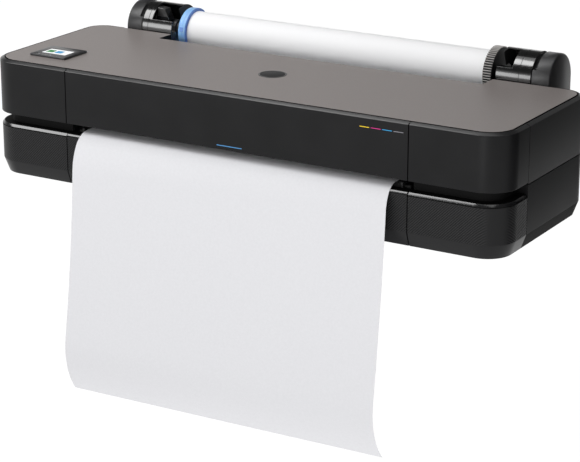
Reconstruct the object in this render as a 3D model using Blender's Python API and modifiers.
"""Large format roll plotter: a bench machine with its paper roll behind and the sheet hanging in front.

Metres, +Z up, +X to the right seen from the front, -Y towards the user.
The casing is drawn from its lower edge up and then lifted onto its feet, so the origin is on the
bench, at the middle of the pad that a stand screws to.
"""
import math

import bmesh
import bpy
from mathutils import Matrix, Vector

# ---------------------------------------------------------------- driving dimensions
WIDTH = 1.013            # over the side covers
DEPTH = 0.330            # front face to the rear face of the casing
HEIGHT = 0.2089          # casing, lower edge to the top plate
FOOT = 0.0045            # feet and stand pad below the casing
PAD_SIZE = (0.300, 0.160)

WALL = 0.003             # moulded covers
SEAM = 0.0012            # joint line between two covers
FIT = 0.0003             # faces that touch
RUN = 0.0003             # radial clearance of turning and sliding pieces

SEAM_X = 0.3374          # joint lines of the centre covers, each side of the middle
SIDE_SEAM = 0.090        # joint line on the side faces, behind the front face
FRONT_RADIUS = 0.053     # vertical front corners
REAR_RADIUS = 0.040      # vertical rear corners
CHAMFER_IN = 0.009       # tuck-in of the casing at its underside
CHAMFER_TOP = 0.0247
LOWER_TOP = 0.0925       # floor of the front groove
UPPER_BOTTOM = 0.1115    # roof of the front groove
SIDE_PARTING = 0.1087    # joint line of the side covers
LIP_RADIUS = 0.004       # rounded upper edge of the lower covers
GROOVE_DEPTH = 0.020
FLANGE = 0.012           # turned-in lower edge of the upper covers
RIM_IN = 0.0066          # sloping rim round the top plate
RIM_DROP = 0.0041
KNUCKLE = 0.0022         # bead at the rim's inner edge, which the door turns on
PIN_RADIUS = 0.0011      # door pins, in the beads of the corner covers
PIN_LENGTH = 0.007
LIGHT_SIZE = (0.050, 0.0016)          # status light in the door
LIGHT_Z = 0.1188
PLATE = 0.003

SHEET_WIDTH = 0.610      # 24 inch paper
SHEET = 0.0003           # paper thickness, drawn heavier than real paper
SHEET_Z = 0.1005         # paper plane over the platen
HANG_LENGTH = 0.509      # sheet from the exit roller to its lower edge

ROLL_RADIUS = 0.0365
CORE_RADIUS = 0.0285
CORE_BORE = 0.0254       # 2 inch core
POD_RADIUS = 0.0465      # roll supports
ROLL_BEHIND = POD_RADIUS - 0.0065      # roll axis behind the rear face, so the supports clear the plate
SPINDLE_RADIUS = 0.0125
JOURNAL_RADIUS = 0.016
NOTCH = 0.0493           # roll bay, measured forward from the rear face

POD_IN = SHEET_WIDTH / 2 + 0.028      # inner end of the roll supports
POD_LENGTH = 0.100
POD_CAP = 0.035
POD_FLOOR = 0.130
POD_FOOT_RADIUS = 0.030
POD_MOUTH = {"right": 0.029, "left": 0.045}   # loading mouths, along X
POD_SILL = 0.021         # mouth sill above the roll's axis
BOSS_RADIUS = 0.033

GEAR_TEETH = 62          # rim of the right roll flange
GEAR_MODULE = 0.00143
ROLL_PINION_TEETH = 18
FEED_TEETH = 40
FEED_MODULE = 0.001
FEED_PINION_TEETH = 12
BACKLASH = 0.0005

FEED_RADIUS = 0.010
PINCH_RADIUS = 0.004
EXIT_RADIUS = 0.0075
RAIL_RADIUS = 0.006
PULLEY_RADIUS = 0.0075
BELT = 0.0012
BELT_WIDTH = 0.006
CARRIAGE_WIDTH = 0.090
PARK_X = 0.395           # middle of the parked carriage

CARTRIDGES = ("yellow", "magenta", "cyan", "black")
CARTRIDGE_PITCH = 0.0206
CARTRIDGE_X = 0.2577     # middle of the first cartridge
CARTRIDGE_WIDTH = 0.0190
BAY_FRONT = 0.0135       # behind the front face
BAY_DEPTH = 0.0405

DISPLAY_X, DISPLAY_BEHIND = -0.4152, 0.0865
DISPLAY_SIZE = (0.078, 0.068)
SCREEN_SIZE = (0.052, 0.031)
BEZEL = 0.0035
BUTTON_RADIUS = 0.0032

# ---------------------------------------------------------------- places that follow
HALF = WIDTH / 2
FRONT = -DEPTH / 2
BACK = DEPTH / 2
ROLL_Y = BACK + ROLL_BEHIND
ROLL_Z = HEIGHT
POD_OUT = POD_IN + POD_LENGTH
PLATE_INSET = RIM_IN + KNUCKLE + 0.0005
NOTCH_Y = BACK - NOTCH
REAR_WALL_Y = NOTCH_Y + WALL + 2 * FIT
POD_FRONT = ROLL_Y - POD_RADIUS
FRAME_X = HALF - 0.0295  # inner face of the chassis ends
FEED_Y = FRONT + 0.150
FEED_Z = SHEET_Z - SHEET / 2 - RUN - FEED_RADIUS
EXIT_Y = FRONT + 0.030
EXIT_Z = SHEET_Z - SHEET / 2 - RUN - EXIT_RADIUS
RAIL_Y, RAIL_Z = FRONT + 0.130, 0.158
BELT_Y, BELT_Z = FRONT + 0.153, 0.174
BEAM_Y = FRONT + 0.162
PULLEY_X = FRAME_X - 0.022
SLOT_Z = 0.150           # where the paper enters the casing
MOTOR_RADIUS = 0.016
FEED_GEAR_X = FRAME_X - 0.027
SERVICE_X = (PARK_X - 0.045, PARK_X + 0.045)

HINGE = Vector((0, FRONT + RIM_IN, HEIGHT - KNUCKLE))

# Sockets in the rear wall, as (x, z) corners.
INLET = ((-0.264, 0.040), (-0.236, 0.060))
INLET_RECESS = ((-0.260, 0.044), (-0.240, 0.056))
PORTS = ((-0.200, 0.040), (-0.156, 0.058))
NETWORK_RECESS = ((-0.197, 0.0425), (-0.182, 0.0555))
USB_RECESS = ((-0.174, 0.0435), (-0.162, 0.0545))
SOCKET_DEPTH = 0.016


# ---------------------------------------------------------------- modelling helpers
def clear_scene():
    for item in list(bpy.data.objects):
        bpy.data.objects.remove(item, do_unlink=True)
    for group in list(bpy.data.collections):
        bpy.data.collections.remove(group)


def new_collection(name):
    group = bpy.data.collections.new(name)
    bpy.context.scene.collection.children.link(group)
    return group


def plastic(name, hexa, roughness=0.5, metallic=0.0, alpha=1.0):
    """A Principled material from an sRGB hex colour."""
    made = bpy.data.materials.new(name)
    made.use_nodes = True
    channel = [int(hexa[i:i + 2], 16) / 255 for i in (0, 2, 4)]
    linear = [c / 12.92 if c <= 0.04045 else ((c + 0.055) / 1.055) ** 2.4 for c in channel]
    shader = made.node_tree.nodes["Principled BSDF"]
    shader.inputs["Base Color"].default_value = (*linear, 1)
    shader.inputs["Roughness"].default_value = roughness
    shader.inputs["Metallic"].default_value = metallic
    shader.inputs["Alpha"].default_value = alpha
    made.diffuse_color = (*linear, alpha)
    return made


def keep(mesh_data, name, look, group=None, smooth=40):
    """Turn a bmesh into a named object with its material."""
    bmesh.ops.recalc_face_normals(mesh_data, faces=mesh_data.faces)
    mesh = bpy.data.meshes.new(name)
    mesh_data.to_mesh(mesh)
    mesh_data.free()
    mesh.shade_smooth()
    mesh.set_sharp_from_angle(angle=math.radians(smooth))
    thing = bpy.data.objects.new(name, mesh)
    (group or parts).objects.link(thing)
    if look:
        mesh.materials.append(look)
    return thing


def arc(centre, radius, start, end, steps):
    """Points on an arc, angles in degrees."""
    turns = [math.radians(start + (end - start) * i / steps) for i in range(steps + 1)]
    return [(centre[0] + radius * math.cos(a), centre[1] + radius * math.sin(a)) for a in turns]


AXES = {"X": Matrix(((0, 0, 1), (1, 0, 0), (0, 1, 0))),
        "Y": Matrix(((0, -1, 0), (0, 0, 1), (1, 0, 0))),
        "Z": Matrix.Identity(3)}


def prism(name, outline, low, high, look, axis="X", group=None, smooth=40):
    """A flat outline extruded along an axis: (y, z) pairs along X, (x, z) along Y, (x, y) along Z."""
    data = bmesh.new()
    if axis == "X":
        ring = [data.verts.new((low, a, b)) for a, b in outline]
        shift = Vector((high - low, 0, 0))
    elif axis == "Y":
        ring = [data.verts.new((a, low, b)) for a, b in outline]
        shift = Vector((0, high - low, 0))
    else:
        ring = [data.verts.new((a, b, low)) for a, b in outline]
        shift = Vector((0, 0, high - low))
    face = data.faces.new(ring)
    raised = bmesh.ops.extrude_face_region(data, geom=[face])["geom"]
    bmesh.ops.translate(data, verts=[v for v in raised if isinstance(v, bmesh.types.BMVert)], vec=shift)
    return keep(data, name, look, group, smooth)


def box(name, low, high, look, group=None):
    """A box between two corners."""
    data = bmesh.new()
    bmesh.ops.create_cube(data, size=1)
    size = [b - a for a, b in zip(low, high)]
    middle = [(a + b) / 2 for a, b in zip(low, high)]
    bmesh.ops.scale(data, verts=data.verts, vec=size)
    bmesh.ops.translate(data, verts=data.verts, vec=middle)
    return keep(data, name, look, group)


def turned(name, profile, centre, look, axis="X", steps=32, group=None):
    """A profile of (place along the axis, radius) turned about an axis through centre."""
    data = bmesh.new()
    ring = [data.verts.new((r, 0, a)) for a, r in profile]
    edges = [data.edges.new(pair) for pair in zip(ring, ring[1:])]
    if profile[0][1] > 0:
        edges.append(data.edges.new((ring[-1], ring[0])))
    bmesh.ops.spin(data, geom=ring + edges, axis=(0, 0, 1), cent=(0, 0, 0), angle=math.tau,
                   steps=steps, use_merge=True)
    bmesh.ops.remove_doubles(data, verts=data.verts, dist=1e-7)
    data.transform(AXES[axis].to_4x4())
    bmesh.ops.translate(data, verts=data.verts, vec=centre)
    return keep(data, name, look, group)


def rod(name, low, high, radius, centre, look, axis="X", steps=24, group=None):
    """A plain round bar from low to high along an axis."""
    profile = [(low, 0), (low, radius), (high, radius), (high, 0)]
    return turned(name, profile, centre, look, axis, steps, group)


def sweep(name, stations, section, look, side=1):
    """A cover: the section (outward offset, height) carried along (x, y, outward x, outward y)."""
    data = bmesh.new()
    rings = [[data.verts.new((side * (x + nx * out), y + ny * out, z)) for out, z in section]
             for x, y, nx, ny in stations]
    for ring, following in zip(rings, rings[1:]):
        for i in range(len(section)):
            j = (i + 1) % len(section)
            data.faces.new((ring[i], ring[j], following[j], following[i]))
    data.faces.new(rings[0])
    data.faces.new(rings[-1])
    return keep(data, name, look, smooth=35)


def corner(centre, radius, start, end, steps):
    """Stations round a vertical corner, with their outward directions."""
    turns = [math.radians(start + (end - start) * i / steps) for i in range(steps + 1)]
    return [(centre[0] + radius * math.cos(a), centre[1] + radius * math.sin(a),
             math.cos(a), math.sin(a)) for a in turns]


def combine(thing, other, operation):
    """Cut or join another solid into this one."""
    other.hide_render = True
    other.display_type = "WIRE"
    change = thing.modifiers.new(other.name, "BOOLEAN")
    change.operation = operation
    change.solver = "EXACT"
    change.object = other
    return thing


def cut(thing, *others):
    for other in others:
        combine(thing, other, "DIFFERENCE")
    return thing


def join(thing, *others):
    for other in others:
        combine(thing, other, "UNION")
    return thing


def ease(thing, width, segments=2, angle=40):
    """Break the sharp edges."""
    rounding = thing.modifiers.new("edges", "BEVEL")
    rounding.width = width
    rounding.segments = segments
    rounding.limit_method = "ANGLE"
    rounding.angle_limit = math.radians(angle)
    rounding.use_clamp_overlap = True
    return thing


def pivot(thing, place):
    """Put the object's origin on its joint's axis."""
    place = Vector(place)
    thing.data.transform(Matrix.Translation(-place))
    thing.location = place
    return thing


def gear_outline(teeth, module, phase=0.0):
    """Involute teeth round a wheel, with the backlash taken off each flank."""
    pitch_radius = teeth * module / 2
    base = pitch_radius * math.cos(math.radians(20))
    tip, root = pitch_radius + 0.9 * module, pitch_radius - 1.25 * module
    involute = lambda r: math.tan(math.acos(base / r)) - math.acos(base / r) if r > base else 0.0
    half = math.pi / (2 * teeth) - BACKLASH / (2 * pitch_radius) + involute(pitch_radius)
    heights = [max(base, root), pitch_radius, tip]
    flank = [(root, half)] * (root < base) + [(r, half - involute(r)) for r in heights]
    outline = []
    for tooth in range(teeth):
        middle = math.tau * tooth / teeth + phase
        for r, spread in [(r, -s) for r, s in flank] + [(r, s) for r, s in reversed(flank)]:
            outline.append((r * math.cos(middle + spread), r * math.sin(middle + spread)))
    return outline


def at(outline, centre):
    return [(centre[0] + a, centre[1] + b) for a, b in outline]


# ---------------------------------------------------------------- casing
def upper_section(bottom):
    """Face, sloping rim, rounded bead and turned-in lower edge of the upper covers."""
    bead = arc((-RIM_IN, HEIGHT - KNUCKLE), KNUCKLE, 90, 250, 6)
    return ([(0, bottom), (0, HEIGHT - RIM_DROP)] + bead
            + [(-WALL, HEIGHT - RIM_DROP - 1.5 * WALL), (-WALL, bottom + WALL),
               (-FLANGE, bottom + WALL), (-FLANGE, bottom)])


def lower_section(back_wall):
    """Chamfer, face, rounded lip and groove floor of the lower covers."""
    lip = arc((-LIP_RADIUS, LOWER_TOP - LIP_RADIUS), LIP_RADIUS, 0, 90, 4)
    groove = [(-GROOVE_DEPTH, LOWER_TOP)]
    if back_wall:
        top = UPPER_BOTTOM + 2 * WALL
        groove += [(-GROOVE_DEPTH, top), (-GROOVE_DEPTH - WALL, top),
                   (-GROOVE_DEPTH - WALL, LOWER_TOP - WALL)]
    else:
        groove += [(-GROOVE_DEPTH, LOWER_TOP - WALL)]
    return ([(-CHAMFER_IN, 0), (0, CHAMFER_TOP)] + lip + groove
            + [(-LIP_RADIUS - WALL, LOWER_TOP - WALL), (-WALL, LOWER_TOP - LIP_RADIUS - WALL),
               (-WALL, CHAMFER_TOP), (-CHAMFER_IN - WALL, 0)])


def front_corner_path():
    return ([(SEAM_X + SEAM / 2, FRONT, 0, -1)]
            + corner((HALF - FRONT_RADIUS, FRONT + FRONT_RADIUS), FRONT_RADIUS, -90, 0, 8)
            + [(HALF, FRONT + SIDE_SEAM - SEAM / 2, 1, 0)])


def side_path():
    return ([(HALF, FRONT + SIDE_SEAM + SEAM / 2, 1, 0)]
            + corner((HALF - REAR_RADIUS, BACK - REAR_RADIUS), REAR_RADIUS, 0, 90, 6)
            + [(POD_OUT + 2 * WALL, BACK, 0, 1)])


def make_casing():
    for side, hand in ((1, "right"), (-1, "left")):
        sweep(f"lower_corner_cover_{hand}", front_corner_path(), lower_section(True), dark, side)
        upper = sweep(f"upper_corner_cover_{hand}", front_corner_path(), upper_section(UPPER_BOTTOM),
                      dark, side)
        ends = sorted((side * (SEAM_X - SEAM), side * (SEAM_X + PIN_LENGTH + 0.001)))
        cut(upper, rod(f"pin_hole_{hand}", *ends, PIN_RADIUS + RUN, (0, HINGE.y, HINGE.z), None,
                       steps=12, group=cutters))
        make_side_covers(side, hand)
    centre = [(-SEAM_X + SEAM / 2, FRONT, 0, -1), (SEAM_X - SEAM / 2, FRONT, 0, -1)]
    sweep("lower_front_cover", centre, lower_section(False), dark)
    make_door(centre)
    make_top_plate()
    make_rear_cover()
    make_base()


def make_side_covers(side, hand):
    top = SIDE_PARTING - SEAM / 2
    section = [(-CHAMFER_IN, 0), (0, CHAMFER_TOP), (0, top), (-WALL, top), (-WALL, CHAMFER_TOP),
               (-CHAMFER_IN - WALL, 0)]
    lower = sweep(f"lower_side_cover_{hand}", side_path(), section, dark, side)
    seam_y = FRONT + SIDE_SEAM + SEAM / 2 + FIT
    near, far = sorted((side * (HALF - GROOVE_DEPTH - WALL), side * (HALF - WALL / 2)))
    join(lower, box(f"groove_end_{hand}", (near, seam_y, LOWER_TOP - 2 * WALL),
                    (far, seam_y + WALL, SIDE_PARTING - SEAM), None, cutters))
    sweep(f"upper_side_cover_{hand}", side_path(), upper_section(SIDE_PARTING + SEAM / 2), dark, side)


def make_door(path):
    """The front door, hinged on the bead of its rim, with its status light."""
    door = sweep("front_door", path, upper_section(UPPER_BOTTOM), dark)
    for side, hand in ((1, "right"), (-1, "left")):
        ends = sorted((side * (SEAM_X - 0.006), side * (SEAM_X + PIN_LENGTH)))
        join(door, rod(f"door_pin_{hand}", *ends, PIN_RADIUS, (0, HINGE.y, HINGE.z), None, steps=12,
                       group=cutters))
    across, up = LIGHT_SIZE[0] / 2, LIGHT_SIZE[1] / 2
    deep = FRONT + 2 * WALL / 3
    cut(door, box("light_slot", (-across, FRONT - WALL, LIGHT_Z - up), (across, deep, LIGHT_Z + up),
                  None, cutters))
    light = box("status_light", (FIT - across, FRONT + FIT / 3, LIGHT_Z - up + FIT / 2),
                (across - FIT, deep - FIT, LIGHT_Z + up - FIT / 2), glow)
    for piece in (door, light):
        pivot(piece, HINGE)


def plate_edge():
    """Right half of the top plate's outline, from the front middle to the rear middle."""
    radius = FRONT_RADIUS - PLATE_INSET
    rear_radius = REAR_RADIUS - PLATE_INSET
    return ([(0, FRONT + PLATE_INSET)]
            + arc((HALF - FRONT_RADIUS, FRONT + FRONT_RADIUS), radius, -90, 0, 8)
            + arc((HALF - REAR_RADIUS, BACK - REAR_RADIUS), rear_radius, 0, 90, 6)
            + [(POD_IN - WALL, BACK - PLATE_INSET), (POD_IN - WALL, NOTCH_Y), (0, NOTCH_Y)])


def make_top_plate():
    right = plate_edge()
    outline = right + [(-x, y) for x, y in reversed(right[1:-1])]
    ease(prism("top_plate", outline, HEIGHT - PLATE, HEIGHT, taupe, "Z"), 0.0008, 2, 60)


def make_rear_cover():
    """The rear wall steps round the roll bay and runs on behind the roll supports."""
    outer = POD_FRONT - 2 * FIT
    steps = [(POD_OUT + WALL, outer, 0, 1), (POD_IN, outer, -1, 1), (POD_IN, REAR_WALL_Y, -1, 1)]
    path = steps + [(-x, y, -nx, ny) for x, y, nx, ny in reversed(steps)]
    section = [(0, 2 * FIT), (0, HEIGHT - PLATE - FIT), (-WALL, HEIGHT - PLATE - FIT), (-WALL, 2 * FIT)]
    cover = sweep("rear_cover", path, section, dark)

    def through(name, low, high, deep=2 * WALL):
        """A cutter for an opening of the rear wall, between two (x, z) corners."""
        return box(name, (low[0], REAR_WALL_Y - deep, low[1]), (high[0], REAR_WALL_Y + WALL, high[1]),
                   None, cutters)

    slot = SHEET_WIDTH / 2 + 0.004
    (inlet_low, inlet_high), (ports_low, ports_high) = INLET, PORTS
    cut(cover, through("paper_slot", (-slot, SLOT_Z - 0.008), (slot, SLOT_Z + 0.008)),
        through("inlet_hole", inlet_low, inlet_high), through("ports_hole", ports_low, ports_high))
    inlet = box("power_inlet", (inlet_low[0] + FIT, REAR_WALL_Y - 0.022, inlet_low[1] + FIT),
                (inlet_high[0] - FIT, REAR_WALL_Y, inlet_high[1] - FIT), black)
    cut(inlet, through("inlet_recess", *INLET_RECESS, SOCKET_DEPTH))
    ports = box("data_ports", (ports_low[0] + FIT, REAR_WALL_Y - 0.020, ports_low[1] + FIT),
                (ports_high[0] - FIT, REAR_WALL_Y, ports_high[1] - FIT), steel)
    cut(ports, through("network_recess", *NETWORK_RECESS, SOCKET_DEPTH),
        through("usb_recess", *USB_RECESS, SOCKET_DEPTH))


def make_base():
    """Folded steel pan with a pad for a stand, on two rubber runners."""
    inset = CHAMFER_IN + WALL + 2 * FIT
    rear = REAR_WALL_Y - WALL - 2 * FIT
    step = POD_IN + WALL + 2 * FIT
    right = (arc((HALF - FRONT_RADIUS, FRONT + FRONT_RADIUS), FRONT_RADIUS - inset, -90, 0, 6)
             + arc((HALF - REAR_RADIUS, BACK - REAR_RADIUS), REAR_RADIUS - inset, 0, 90, 5)
             + [(POD_OUT + 2 * WALL, BACK - inset), (POD_OUT + 2 * WALL, POD_FRONT - WALL - 4 * FIT),
                (step, POD_FRONT - WALL - 4 * FIT), (step, rear)])
    outline = right + [(-x, y) for x, y in reversed(right)]
    data = bmesh.new()
    face = data.faces.new([data.verts.new((x, y, 0.008)) for x, y in outline])
    base = bmesh.ops.extrude_face_region(data, geom=[face])["geom"]
    lowered = [v for v in base if isinstance(v, bmesh.types.BMVert)]
    bmesh.ops.translate(data, verts=lowered, vec=(0, 0, -0.008))
    bmesh.ops.recalc_face_normals(data, faces=data.faces)
    top = max(data.faces, key=lambda f: f.calc_center_median().z)
    bmesh.ops.inset_region(data, faces=[top], thickness=0.002)
    bmesh.ops.translate(data, verts=top.verts, vec=(0, 0, -0.0055))
    pan = keep(data, "base_pan", steel)
    wide, deep = PAD_SIZE
    join(pan, box("stand_pad", (-wide / 2, -deep / 2, -FOOT), (wide / 2, deep / 2, 0.001), None,
                  cutters))
    for side, hand in ((1, "right"), (-1, "left")):
        x = side * (HALF - 0.100)
        ease(box(f"foot_{hand}", (x - 0.010, FRONT + 0.045, -FOOT), (x + 0.010, rear - 0.030, -FIT),
                 rubber), 0.0012)


# ---------------------------------------------------------------- chassis, paper path and carriage
def make_chassis():
    low, high = 0.0035, HEIGHT - 0.012
    for side, hand in ((1, "right"), (-1, "left")):
        near, far = sorted((side * FRAME_X, side * (FRAME_X + 0.002)))
        end = box(f"chassis_end_{hand}", (near, FRONT + 0.060, low), (far, NOTCH_Y - 0.010, high), steel)
        through = (near - WALL, far + WALL)
        cut(end, rod(f"rail_hole_{hand}", *through, RAIL_RADIUS + RUN, (0, RAIL_Y, RAIL_Z), None,
                     steps=16, group=cutters))
    lowest, sheet, lip = 0.118, 0.002, BEAM_Y + 0.020
    channel = [(BEAM_Y, lowest), (lip, lowest), (lip, lowest + sheet), (BEAM_Y + sheet, lowest + sheet),
               (BEAM_Y + sheet, high - sheet), (lip, high - sheet), (lip, high), (BEAM_Y, high)]
    beam = prism("carriage_beam", channel, FIT - FRAME_X, FRAME_X - FIT, steel)
    cut(beam, rod("motor_shaft_hole", BEAM_Y - WALL, BEAM_Y + WALL, 0.004, (PULLEY_X, 0, BELT_Z), None,
                  "Y", 12, cutters))
    rod("carriage_rail", -FRAME_X - 0.004, FRAME_X + 0.004, RAIL_RADIUS, (0, RAIL_Y, RAIL_Z), chrome,
        steps=16)
    box("encoder_strip", (0.010 - FRAME_X, RAIL_Y + 0.017, 0.191),
        (FRAME_X - 0.010, RAIL_Y + 0.0175, 0.197), clear)


def make_paper_path():
    half = SHEET_WIDTH / 2 + 0.010
    cheek = half + 0.014
    top = SHEET_Z - SHEET / 2 - 0.001
    platen = box("platen", (-half, EXIT_Y + EXIT_RADIUS + 0.004, top - 0.012),
                 (half, FEED_Y - FEED_RADIUS - 0.004, top), black)
    for side, hand in ((1, "right"), (-1, "left")):
        near, far = sorted((side * (half - 0.001), side * (half + 0.003)))
        join(platen, box(f"cheek_{hand}", (near, EXIT_Y - 0.009, top - 0.032),
                         (far, FEED_Y + 0.012, top + 0.0015), None, cutters))
        through = (near - 0.002, far + 0.002)
        cut(platen, rod(f"exit_bore_{hand}", *through, 0.003 + RUN, (0, EXIT_Y, EXIT_Z), None, steps=12,
                        group=cutters),
            rod(f"feed_bore_{hand}", *through, 0.004 + RUN, (0, FEED_Y, FEED_Z), None, steps=12,
                group=cutters))
    body = half - 0.003
    pivot(turned("exit_roller", [(-cheek, 0), (-cheek, 0.003), (-body, 0.003), (-body, EXIT_RADIUS),
                                 (body, EXIT_RADIUS), (body, 0.003), (cheek, 0.003), (cheek, 0)],
                 (0, EXIT_Y, EXIT_Z), rubber, steps=16), (0, EXIT_Y, EXIT_Z))
    shaft_end = FEED_GEAR_X + 0.012
    pivot(turned("feed_roller", [(-cheek, 0), (-cheek, 0.004), (-body, 0.004), (-body, FEED_RADIUS),
                                 (body, FEED_RADIUS), (body, 0.004), (shaft_end, 0.004), (shaft_end, 0)],
                 (0, FEED_Y, FEED_Z), rubber, steps=20), (0, FEED_Y, FEED_Z))
    pinch_z = SHEET_Z + SHEET / 2 + RUN + PINCH_RADIUS
    pivot(rod("pinch_roller", -body, body, PINCH_RADIUS, (0, FEED_Y, pinch_z), rubber, steps=12),
          (0, FEED_Y, pinch_z))
    make_feed_drive()


def make_feed_drive():
    """A wheel on the feed roller's shaft and the motor's pinion that turns it."""
    spread = (FEED_TEETH + FEED_PINION_TEETH) * FEED_MODULE / 2 + 0.0001
    lean = math.radians(-60)
    motor_y, motor_z = FEED_Y + spread * math.cos(lean), FEED_Z + spread * math.sin(lean)
    gear = prism("feed_gear", at(gear_outline(FEED_TEETH, FEED_MODULE, lean), (FEED_Y, FEED_Z)),
                 FEED_GEAR_X, FEED_GEAR_X + 0.008, nylon, smooth=30)
    cut(gear, rod("feed_gear_bore", FEED_GEAR_X - WALL, FEED_GEAR_X + 0.011, 0.004 + FIT,
                  (0, FEED_Y, FEED_Z), None, steps=16, group=cutters))
    pivot(gear, (0, FEED_Y, FEED_Z))
    gap = lean + math.pi + math.pi / FEED_PINION_TEETH
    teeth = at(gear_outline(FEED_PINION_TEETH, FEED_MODULE, gap), (motor_y, motor_z))
    pinion = prism("feed_pinion", teeth, FEED_GEAR_X - 0.001, FEED_GEAR_X + 0.009, brass, smooth=30)
    axis = (0, motor_y, motor_z)
    join(pinion, rod("feed_motor_shaft", FEED_GEAR_X - 0.012, FEED_GEAR_X + 0.005, 0.002, axis, None,
                     steps=10, group=cutters))
    pivot(pinion, axis)
    motor = rod("feed_motor", FEED_GEAR_X - 0.040, FEED_GEAR_X - 0.004, 0.015, axis, zinc)
    cut(motor, rod("feed_motor_bore", FEED_GEAR_X - 0.013, FEED_GEAR_X, 0.002 + RUN, axis, None,
                   steps=10, group=cutters))


def make_carriage():
    """The carriage on its rail, with the printhead under it and a clamp for the belt."""
    low, high = PARK_X - CARRIAGE_WIDTH / 2, PARK_X + CARRIAGE_WIDTH / 2
    run_z = BELT_Z - PULLEY_RADIUS - BELT / 2 - FIT
    body = box("carriage", (low, FRONT + 0.058, 0.112), (high, RAIL_Y + 0.014, run_z + 0.005), black)
    ease(body, 0.002)
    clamp = box("belt_clamp", (PARK_X - 0.012, RAIL_Y + 0.010, run_z - 0.005),
                (PARK_X + 0.012, BEAM_Y - 0.002, run_z + 0.0045), None, cutters)
    join(body, clamp)
    cut(body, rod("carriage_bore", low - WALL, high + WALL, RAIL_RADIUS + RUN, (0, RAIL_Y, RAIL_Z),
                  None, steps=16, group=cutters),
        box("belt_way", (low, BELT_Y - BELT_WIDTH / 2 - FIT, run_z - BELT / 2 - FIT),
            (high, BELT_Y + BELT_WIDTH / 2 + FIT, run_z + BELT / 2 + FIT), None, cutters))
    ease(box("printhead", (PARK_X - 0.030, FRONT + 0.068, SHEET_Z + 0.003),
             (PARK_X + 0.030, FRONT + 0.112, 0.112 - FIT), steel), 0.001)


def make_belt_drive():
    """Toothless belt loop, drive pulley on its motor and idler on its pin."""
    across = (BELT_Y - BELT_WIDTH / 2, BELT_Y + BELT_WIDTH / 2)
    inner = PULLEY_RADIUS + FIT
    loops = []
    for radius in (inner + BELT, inner):
        loops.append(arc((PULLEY_X, BELT_Z), radius, -90, 90, 10)
                     + arc((-PULLEY_X, BELT_Z), radius, 90, 270, 10))
    belt = prism("carriage_belt", loops[0], *across, rubber, "Y")
    cut(belt, prism("belt_inside", loops[1], across[0] - WALL, across[1] + WALL, None, "Y", cutters))
    wide = 0.0005
    rim = PULLEY_RADIUS + BELT + 0.001
    near, far = across[0] - wide, across[1] + wide
    for name, x, stub in (("drive_pulley", PULLEY_X, BEAM_Y + 0.010),
                          ("idler_pulley", -PULLEY_X, BEAM_Y - 0.0005)):
        profile = [(near - 0.001, 0), (near - 0.001, rim), (near, rim), (near, PULLEY_RADIUS),
                   (far, PULLEY_RADIUS), (far, rim), (far + 0.001, rim), (far + 0.001, 0.0025),
                   (stub, 0.0025), (stub, 0)]
        pulley = turned(name, profile, (x, 0, BELT_Z), nylon, "Y", 20)
        pivot(pulley, (x, BELT_Y, BELT_Z))
    shaft = (PULLEY_X, 0, BELT_Z)
    motor = rod("carriage_motor", BEAM_Y + 0.0025, BEAM_Y + 0.0425, MOTOR_RADIUS, shaft, zinc, "Y")
    cut(motor, rod("carriage_motor_bore", BEAM_Y, BEAM_Y + 0.012, 0.0025 + RUN, shaft, None, "Y", 12,
                   cutters))


def make_service_station():
    """The tray under the parked carriage with the cap that seals the printhead."""
    low, high = SERVICE_X
    tray = box("service_tray", (low, FRONT + 0.062, 0.020), (high, FRONT + 0.124, SHEET_Z - 0.008),
               black)
    well = (low + 0.012, FRONT + 0.068, 0.070)
    cut(tray, box("cap_well", well, (high - 0.012, FRONT + 0.116, SHEET_Z), None, cutters))
    cap = box("cap_seal", (well[0] + 0.001, well[1] + 0.001, 0.082),
              (high - 0.013, FRONT + 0.115, SHEET_Z + 0.0025), rubber)
    cut(cap, box("cap_hollow", (well[0] + 0.005, well[1] + 0.005, SHEET_Z - 0.004),
                 (high - 0.017, FRONT + 0.111, SHEET_Z + 0.004), None, cutters))


def make_ink():
    """Four slim cartridges in an open-fronted bay behind the door."""
    floor_z, roof_z = UPPER_BOTTOM + WALL + 0.002, HEIGHT - RIM_DROP - 0.009
    rear = FRONT + BAY_FRONT + BAY_DEPTH
    first = CARTRIDGE_X - CARTRIDGE_PITCH / 2 - 0.0012
    last = CARTRIDGE_X + CARTRIDGE_PITCH * (len(CARTRIDGES) - 0.5) + 0.0012
    bay = box("ink_bay", (first, FRONT + BAY_FRONT, floor_z), (last, rear, roof_z), black)
    for number, ink in enumerate(CARTRIDGES):
        x = CARTRIDGE_X + number * CARTRIDGE_PITCH
        half = CARTRIDGE_WIDTH / 2
        cut(bay, box(f"slot_{ink}", (x - half - RUN, FRONT, floor_z + 0.002),
                     (x + half + RUN, rear - 0.002, roof_z - 0.002), None, cutters))
        cartridge = box(f"ink_cartridge_{ink}",
                        (x - half, FRONT + BAY_FRONT + 0.0005, floor_z + 0.002 + RUN),
                        (x + half, rear - 0.002 - FIT, roof_z - 0.002 - RUN), inks[ink])
        ease(cartridge, 0.0012)


def make_electronics():
    floor = 0.0025 + FIT
    box("power_supply", (-0.330, FRONT + 0.175, floor), (-0.210, FRONT + 0.250, floor + 0.035), zinc)
    box("main_board", (-0.190, FRONT + 0.150, floor + 0.006), (0.020, FRONT + 0.258, floor + 0.0076),
        board)


# ---------------------------------------------------------------- roll, supports and sheet
def pod_section():
    """Arch over straight sides, with a rounded foot at the back."""
    foot = arc((ROLL_Y + POD_RADIUS - POD_FOOT_RADIUS, POD_FLOOR + POD_FOOT_RADIUS),
               POD_FOOT_RADIUS, 0, -90, 5)
    return [(POD_FRONT, POD_FLOOR)] + arc((ROLL_Y, ROLL_Z), POD_RADIUS, 180, 0, 24) + foot


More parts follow.
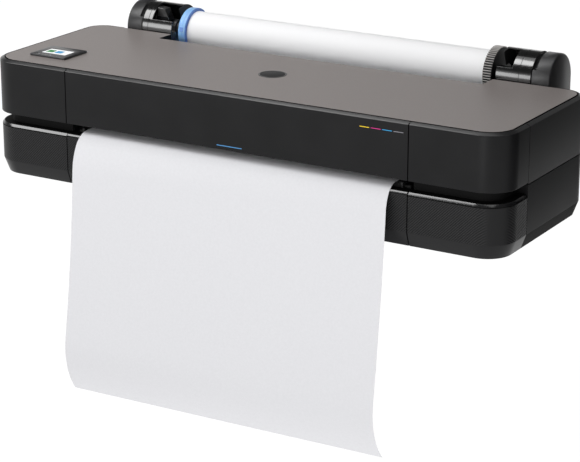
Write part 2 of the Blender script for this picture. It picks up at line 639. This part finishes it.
def pinion_place():
    spread = (GEAR_TEETH + ROLL_PINION_TEETH) * GEAR_MODULE / 2 + 0.0002
    return ROLL_Y, ROLL_Z - spread


def make_pods():
    """Roll supports: an arched housing with a saddle for the journal, and its end cap."""
    seat = JOURNAL_RADIUS + RUN
    hollow = POD_RADIUS - WALL
    inside = arc((ROLL_Y, ROLL_Z), hollow, 0, 180, 16) + arc((ROLL_Y, ROLL_Z), seat, 180, 360, 12)
    joint = POD_OUT - POD_CAP
    for side, hand in ((1, "right"), (-1, "left")):
        span = lambda a, b: sorted((side * a, side * b))
        housing = prism(f"pod_housing_{hand}", pod_section(), *span(POD_IN, joint - FIT), gloss)
        near, far = span(POD_IN - WALL, POD_IN + POD_MOUTH[hand])
        cut(housing, prism(f"pod_hollow_{hand}", inside, *span(POD_IN - WALL, joint - 0.004), None,
                           group=cutters),
            box(f"pod_mouth_{hand}", (near, POD_FRONT - WALL, ROLL_Z + POD_SILL),
                (far, ROLL_Y, ROLL_Z + POD_RADIUS + WALL), None, cutters))
        join(housing, rod(f"pod_boss_{hand}", *span(joint - 0.018, joint - 0.002), BOSS_RADIUS,
                          (0, ROLL_Y, ROLL_Z), None, steps=28, group=cutters))
        cap = prism(f"pod_cap_{hand}", pod_section(), *span(joint, POD_OUT), dark)
        ring = (arc((ROLL_Y, ROLL_Z), POD_RADIUS + WALL, 30, 150, 14)
                + arc((ROLL_Y, ROLL_Z), POD_RADIUS - 0.006, 150, 30, 14))
        ease(cap, 0.003, 2, 60)
        cut(cap, prism(f"pod_slot_{hand}", ring, *span(joint - WALL, joint + 0.006), None,
                       group=cutters))


def make_roll_tray():
    """The trough between the supports that hangs under the roll."""
    rear = ROLL_Y + POD_RADIUS
    radius = POD_FOOT_RADIUS
    outside = ([(rear, ROLL_Z - 0.022)]
               + arc((rear - radius, POD_FLOOR + radius), radius, 0, -90, 6)
               + arc((REAR_WALL_Y + FIT + 0.010, POD_FLOOR + 0.010), 0.010, -90, -180, 3)
               + [(REAR_WALL_Y + FIT, SLOT_Z - 0.009)])
    inside = ([(REAR_WALL_Y + FIT + WALL, SLOT_Z - 0.009)]
              + arc((REAR_WALL_Y + FIT + 0.010, POD_FLOOR + 0.010), 0.010 - WALL, -180, -90, 3)
              + arc((rear - radius, POD_FLOOR + radius), radius - WALL, -90, 0, 6)
              + [(rear - WALL, ROLL_Z - 0.022)])
    edge = POD_IN - 2 * FIT
    prism("roll_tray", outside + inside, -edge, edge, dark)


def make_roll():
    """Spindle, flanges, core and paper, all on the roll's axis."""
    centre = (0, ROLL_Y, ROLL_Z)
    half = SHEET_WIDTH / 2
    journal = POD_IN + 0.012
    tip = POD_OUT - POD_CAP - 0.020
    profile = [(-tip, 0), (-tip, JOURNAL_RADIUS), (-journal, JOURNAL_RADIUS), (-journal, SPINDLE_RADIUS),
               (journal, SPINDLE_RADIUS), (journal, JOURNAL_RADIUS), (tip, JOURNAL_RADIUS), (tip, 0)]
    pieces = [turned("spindle", profile, centre, black)]
    tube = lambda name, low, high, bore, radius, look: turned(
        name, [(low, bore), (low, radius), (high, radius), (high, bore)], centre, look)
    pieces.append(tube("roll_core", -half + FIT, half - FIT, CORE_BORE, CORE_RADIUS, card))
    pieces.append(tube("paper_roll", -half, half, CORE_RADIUS + FIT, ROLL_RADIUS, paper))
    bore, plug = SPINDLE_RADIUS + RUN, CORE_BORE - 2 * FIT
    edge = half + FIT
    rim = edge + 0.017
    blue = [(-rim, bore), (-rim, 0.030), (-rim + 0.002, 0.0418), (-edge - 0.001, 0.0422),
            (-edge, 0.0410), (-edge, plug), (-edge + 0.024, plug), (-edge + 0.024, bore)]
    pieces.append(turned("roll_flange_left", blue, centre, flange_blue))
    start = half + 0.0022
    teeth = at(gear_outline(GEAR_TEETH, GEAR_MODULE, -math.pi / 2), (ROLL_Y, ROLL_Z))
    gear = prism("roll_flange_right", teeth, start, start + 0.016, black, smooth=30)
    hub = [(start - 0.026, 0), (start - 0.026, plug), (edge, plug), (edge, 0.040),
           (start + 0.001, 0.040), (start + 0.001, 0)]
    join(gear, turned("roll_flange_hub", hub, centre, None, group=cutters))
    cut(gear, rod("roll_flange_bore", start - 0.030, start + 0.020, bore, centre, None, group=cutters))
    pieces.append(gear)
    for piece in pieces:
        pivot(piece, centre)
    make_roll_drive(start)


def make_roll_drive(start):
    y, z = pinion_place()
    gap = math.pi / 2 + math.pi / ROLL_PINION_TEETH
    pinion = prism("roll_drive_pinion", at(gear_outline(ROLL_PINION_TEETH, GEAR_MODULE, gap), (y, z)),
                   start + 0.001, start + 0.015, nylon, smooth=30)
    join(pinion, rod("roll_drive_shaft", start + 0.008, POD_IN + 0.012, 0.004, (0, y, z), None, steps=12,
                     group=cutters))
    housing = parts.objects["pod_housing_right"]
    cut(housing, rod("roll_drive_bore", POD_IN - WALL, POD_IN + 0.014, 0.004 + RUN, (0, y, z), None,
                     steps=12, group=cutters))
    pivot(pinion, (0, y, z))


def hanging_curve(across):
    """The sheet over the lip, down, and curled back; across runs from 0 (left) to 1 (right)."""
    mix = lambda left, right: left + (right - left) * across
    start, lip_bend, ease_out = mix(0.018, 0.0225), mix(0.040, 0.030), mix(0.10, 0.06)
    lean, curl, curl_turn = mix(-6, -4.2), 0.14, mix(45, 50)
    heading, used, points = 180.0, 0.0, [(EXIT_Y, SHEET_Z)]
    place = Vector(points[0])

    def go(length, turn, steps):
        nonlocal heading, place, used
        for _ in range(steps):
            heading += turn / steps / 2
            angle = math.radians(heading)
            place = place + Vector((math.cos(angle), math.sin(angle))) * length / steps
            heading += turn / steps / 2
            points.append(tuple(place))
        used += length

    go(EXIT_Y - FRONT - start, 0, 1)
    go(lip_bend * math.radians(60), 60, 8)
    go(ease_out * math.radians(26), 26, 4)
    tail = curl * math.radians(curl_turn)
    go(HANG_LENGTH - used - tail, lean, 8)
    go(tail, curl_turn, 8)
    return points


def make_sheet():
    """One sheet from under the roll, through the rollers, out over the lip and down."""
    reach = ROLL_RADIUS + SHEET / 2 + FIT
    slot = Vector((REAR_WALL_Y - WALL / 2, SLOT_Z))
    to_axis = Vector((ROLL_Y, ROLL_Z)) - slot
    climb = math.atan2(to_axis.y, to_axis.x) - math.asin(reach / to_axis.length)
    to_tangent = math.sqrt(to_axis.length ** 2 - reach ** 2)
    leave = slot + Vector((math.cos(climb), math.sin(climb))) * to_tangent
    inside = [tuple(leave), tuple(slot), (FEED_Y + 0.006, SHEET_Z)]
    columns = 12
    data = bmesh.new()
    fronts, backs = [], []
    for column in range(columns + 1):
        x = SHEET_WIDTH * (column / columns - 0.5)
        line = inside + hanging_curve(column / columns)
        front, back = [], []
        for i, here in enumerate(line):
            before, after = Vector(line[max(i - 1, 0)]), Vector(line[min(i + 1, len(line) - 1)])
            along = (after - before).normalized() * SHEET / 2
            front.append(data.verts.new((x, here[0] + along.y, here[1] - along.x)))
            back.append(data.verts.new((x, here[0] - along.y, here[1] + along.x)))
        fronts.append(front)
        backs.append(back)
    rows = len(fronts[0])
    for layer in (fronts, backs):
        for left, right in zip(layer, layer[1:]):
            for i in range(rows - 1):
                data.faces.new((left[i], left[i + 1], right[i + 1], right[i]))
    for one, two in ((fronts[0], backs[0]), (fronts[-1], backs[-1])):
        for i in range(rows - 1):
            data.faces.new((one[i], one[i + 1], two[i + 1], two[i]))
    for i in (0, -1):
        for column in range(columns):
            data.faces.new((fronts[column][i], backs[column][i], backs[column + 1][i],
                            fronts[column + 1][i]))
    keep(data, "paper_sheet", paper, smooth=60)


# ---------------------------------------------------------------- control panel
def make_panel():
    """Raised bezel on the plate, with its screen and the power button."""
    x, y = DISPLAY_X, FRONT + DISPLAY_BEHIND
    wide, deep = DISPLAY_SIZE
    low = HEIGHT + FIT
    high = low + BEZEL
    bezel = box("display_bezel", (x - wide / 2, y - deep / 2, low), (x + wide / 2, y + deep / 2, high),
                black)
    left, right = x - SCREEN_SIZE[0] / 2, x + SCREEN_SIZE[0] / 2
    near, far = y - 0.001 - SCREEN_SIZE[1] / 2, y - 0.001 + SCREEN_SIZE[1] / 2
    bottom = high - 0.0012
    cut(bezel, box("screen_recess", (left, near, bottom), (right, far, high + WALL), None, cutters))
    box("display_screen", (left + FIT, near + FIT, bottom + FIT), (right - FIT, far - FIT, high), glass)
    button = (x - 0.022, y - 0.0260)
    cut(bezel, rod("button_well", high - 0.0026, high + WALL, BUTTON_RADIUS + RUN, (*button, 0), None,
                   "Z", 16, cutters))
    cap = rod("power_button", high - 0.0012, high + 0.0003, BUTTON_RADIUS, (*button, 0), gloss, "Z", 20)
    pivot(cap, (*button, high))


def stand_on_feet():
    for thing in [*parts.objects, *cutters.objects]:
        thing.location.z += FOOT


clear_scene()
parts = new_collection("large_format_plotter")
cutters = new_collection("cutters")

dark = plastic("casing_plastic", "2b2b2c", 0.45)
gloss = plastic("gloss_plastic", "121212", 0.12)
black = plastic("inner_plastic", "1c1c1e", 0.55)
taupe = plastic("top_plate_paint", "868080", 0.38)
steel = plastic("sheet_steel", "9a9c9e", 0.38, 1.0)
zinc = plastic("motor_steel", "7d8084", 0.32, 1.0)
chrome = plastic("rail_steel", "c8cacc", 0.15, 1.0)
rubber = plastic("rubber", "262626", 0.8)
nylon = plastic("nylon", "e4e2da", 0.5)
brass = plastic("brass", "b5954e", 0.3, 1.0)
clear = plastic("encoder_film", "c9ced2", 0.2, alpha=0.5)
glass = plastic("screen_glass", "1b1d20", 0.08)
glow = plastic("status_light", "8fc4f2", 0.3)
board = plastic("circuit_board", "1f5a38", 0.5)
card = plastic("core_card", "a88c68", 0.85)
paper = plastic("paper", "f4f4f6", 0.9)
flange_blue = plastic("flange_blue", "7fb0ea", 0.25)
inks = {ink: plastic(f"ink_{ink}", code, 0.4)
        for ink, code in zip(CARTRIDGES, ("e6c21f", "c22a72", "2c9ccf", "2a2a2c"))}

make_casing()
make_chassis()
make_paper_path()
make_carriage()
make_belt_drive()
make_service_station()
make_ink()
make_electronics()
make_pods()
make_roll_tray()
make_roll()
make_sheet()
make_panel()
stand_on_feet()
